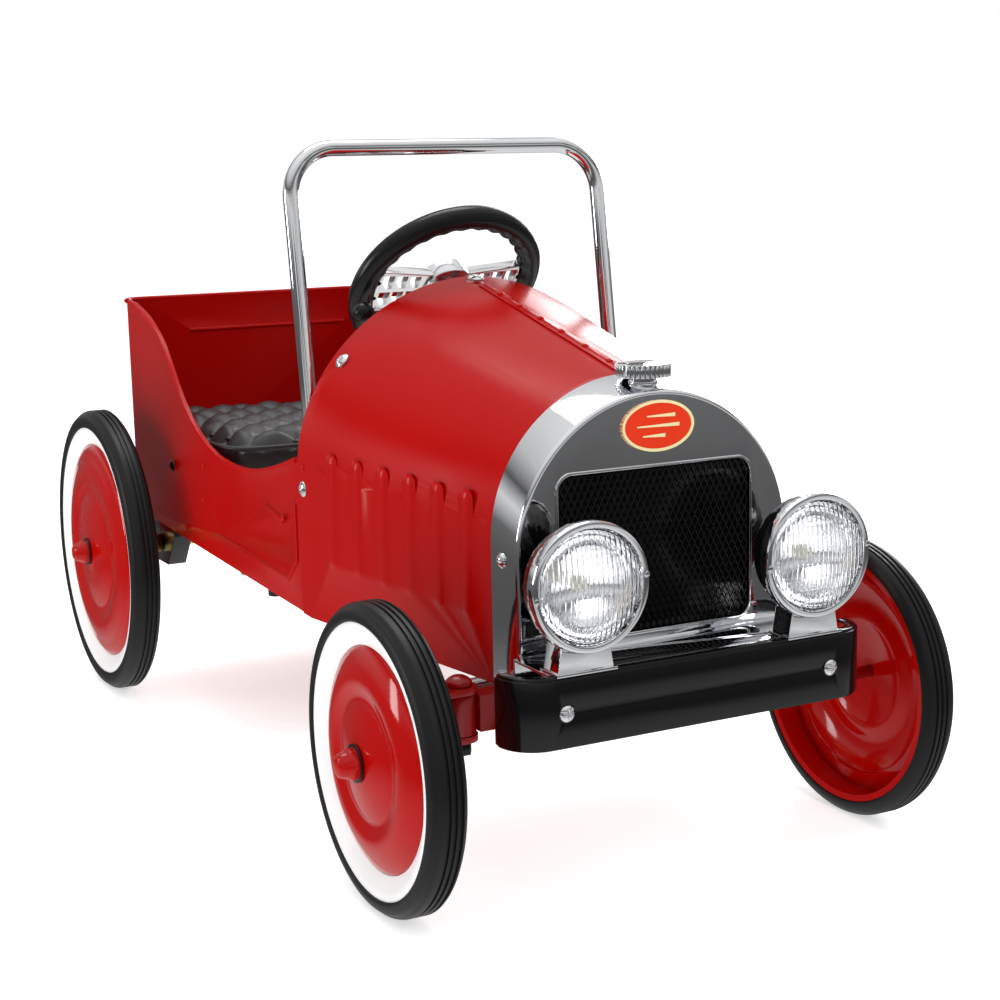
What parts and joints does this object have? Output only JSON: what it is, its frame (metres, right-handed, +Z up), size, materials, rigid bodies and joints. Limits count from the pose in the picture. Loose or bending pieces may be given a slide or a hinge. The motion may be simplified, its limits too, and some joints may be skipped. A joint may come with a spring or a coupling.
{
  "type": "pedal car",
  "caption": "Child's pressed steel pedal car with an open tub, louvred hood, round headlamps, tube windscreen frame, steered front wheels and pedals driving a cranked rear axle.",
  "frame": {"origin": "on the floor, under the centre of the car's box", "axes": "+Z up, the car drives towards -Y, +X is the driver's left"},
  "size_m": [0.406, 0.792, 0.457],
  "materials": {
    "red_paint": "gloss red enamel on pressed steel sheet",
    "red_axle_paint": "gloss red enamel on steel",
    "wheel_red": "gloss red enamel on pressed steel",
    "chrome": "bright chrome plate",
    "black_metal": "gloss black enamel on steel",
    "white_plastic": "gloss white",
    "tyre_rubber": "smooth solid black rubber",
    "black_plastic": "gloss black moulded plastic",
    "pad_rubber": "ribbed black rubber",
    "lens_glass": "clear pressed prism lens",
    "badge_enamel": "orange-red enamel with a cream edge",
    "leatherette": "black tufted leatherette",
    "zinc": "yellow zinc plated steel",
    "steel": "bright steel",
    "silver_plastic": "silver metallised plastic"
  },
  "bodies": {
    "chassis": {"body_tub": "red_paint", "hood_left": "red_paint", "hood_right": "red_paint", "hood_seam_strip": "red_paint", "rivets": "red_paint", "screws": "chrome", "black_bolts": "black_metal", "radiator_shell": "chrome", "grille_mesh": "black_metal", "badge": "badge_enamel", "headlamp_shell_left": "black_metal", "headlamp_shell_right": "black_metal", "headlamp_rim_left": "chrome", "headlamp_rim_right": "chrome", "headlamp_lens_left": "lens_glass", "headlamp_lens_right": "lens_glass", "headlamp_bracket_left": "chrome", "headlamp_bracket_right": "chrome", "bumper": "black_metal", "bumper_shelf": "chrome", "windscreen_frame": "chrome", "seat_pan": "red_paint", "seat_cushion": "leatherette", "dash_brace": "red_paint", "front_axle": "red_axle_paint", "kingpins": "red_axle_paint", "pedal_rod": "zinc", "rear_hanger_left": "black_metal", "rear_hanger_right": "black_metal"},
    "radiator_cap": {"radiator_cap": "chrome"},
    "steering": {"steering_column": "steel", "steering_rim": "black_plastic", "steering_spokes": "silver_plastic"},
    "column_lever": {"column_lever": "steel"},
    "knuckle_left": {"knuckle_left": "red_axle_paint", "hub_cap_front_left": "wheel_red"},
    "knuckle_right": {"knuckle_right": "red_axle_paint", "hub_cap_front_right": "wheel_red"},
    "tie_rod": {"tie_rod": "steel"},
    "wheel_front_left": {"wheel_front_left_disc": "wheel_red", "wheel_front_left_ring": "white_plastic", "wheel_front_left_tyre": "tyre_rubber"},
    "wheel_front_right": {"wheel_front_right_disc": "wheel_red", "wheel_front_right_ring": "white_plastic", "wheel_front_right_tyre": "tyre_rubber"},
    "rear_axle": {"crank_axle": "zinc", "wheel_rear_right_disc": "wheel_red", "wheel_rear_right_ring": "white_plastic", "wheel_rear_right_tyre": "tyre_rubber", "hub_cap_rear_right": "wheel_red", "hub_cap_rear_left": "wheel_red"},
    "wheel_rear_left": {"wheel_rear_left_disc": "wheel_red", "wheel_rear_left_ring": "white_plastic", "wheel_rear_left_tyre": "tyre_rubber"},
    "con_rod_left": {"con_rod_left": "zinc"},
    "con_rod_right": {"con_rod_right": "zinc"},
    "pedal_left": {"pedal_arm_left": "black_metal", "pedal_pad_left": "pad_rubber"},
    "pedal_right": {"pedal_arm_right": "black_metal", "pedal_pad_right": "pad_rubber"}
  },
  "joints": [
    {"name": "steering", "type": "hinge", "parent": "chassis", "child": "steering", "pos_m": [0, -0.0489, 0.353], "axis": [0, 0.7431, 0.6691], "range_deg": [-34.8, 34.8]},
    {"name": "king_left", "type": "hinge", "parent": "chassis", "child": "knuckle_left", "pos_m": [0.122, -0.3039, 0.114], "axis": [0, 0, 1], "range_deg": [-25.1, 25.1]},
    {"name": "king_right", "type": "hinge", "parent": "chassis", "child": "knuckle_right", "pos_m": [-0.122, -0.3039, 0.114], "axis": [0, 0, 1], "range_deg": [-25.1, 25.1]},
    {"name": "tie_rod_pivot", "type": "hinge", "parent": "knuckle_left", "child": "tie_rod", "pos_m": [0.122, -0.2689, 0.119], "axis": [0, 0, 1], "range_deg": [-25.1, 25.1]},
    {"name": "column_lever", "type": "hinge", "parent": "steering", "child": "column_lever", "pos_m": [0, -0.06644, 0.33721], "axis": [0, 0.7431, 0.6691], "range_deg": [-20, 20]},
    {"name": "wheel_front_left", "type": "hinge", "parent": "knuckle_left", "child": "wheel_front_left", "pos_m": [0.183, -0.3039, 0.094], "axis": [1, 0, 0], "continuous": true},
    {"name": "wheel_front_right", "type": "hinge", "parent": "knuckle_right", "child": "wheel_front_right", "pos_m": [-0.183, -0.3039, 0.094], "axis": [1, 0, 0], "continuous": true},
    {"name": "rear_axle", "type": "hinge", "parent": "chassis", "child": "rear_axle", "pos_m": [0, 0.2741, 0.12], "axis": [1, 0, 0], "continuous": true},
    {"name": "wheel_rear_left", "type": "hinge", "parent": "rear_axle", "child": "wheel_rear_left", "pos_m": [0.183, 0.2741, 0.12], "axis": [1, 0, 0], "continuous": true},
    {"name": "con_rod_left", "type": "hinge", "parent": "rear_axle", "child": "con_rod_left", "pos_m": [0.043, 0.2741, 0.15], "axis": [1, 0, 0], "continuous": true},
    {"name": "con_rod_right", "type": "hinge", "parent": "rear_axle", "child": "con_rod_right", "pos_m": [-0.043, 0.2741, 0.09], "axis": [1, 0, 0], "continuous": true},
    {"name": "pedal_left", "type": "hinge", "parent": "chassis", "child": "pedal_left", "pos_m": [0.05, -0.1539, 0.235], "axis": [1, 0, 0], "range_deg": [-15, 15]},
    {"name": "pedal_right", "type": "hinge", "parent": "chassis", "child": "pedal_right", "pos_m": [-0.05, -0.1539, 0.235], "axis": [1, 0, 0], "range_deg": [-15, 15]},
    {"name": "radiator_cap", "type": "hinge", "parent": "chassis", "child": "radiator_cap", "pos_m": [0, -0.3189, 0.313], "axis": [0, 0, 1], "continuous": true}
  ],
  "couplings": [
    {"joint": "king_left", "follows": "steering", "ratio": 0.71839},
    {"joint": "king_right", "follows": "steering", "ratio": 0.71839},
    {"joint": "tie_rod_pivot", "follows": "steering", "ratio": -0.71839},
    {"joint": "con_rod_left", "follows": "rear_axle", "ratio": -1},
    {"joint": "con_rod_right", "follows": "rear_axle", "ratio": -1},
    {"joint": "pedal_right", "follows": "pedal_left", "ratio": -1}
  ]
}
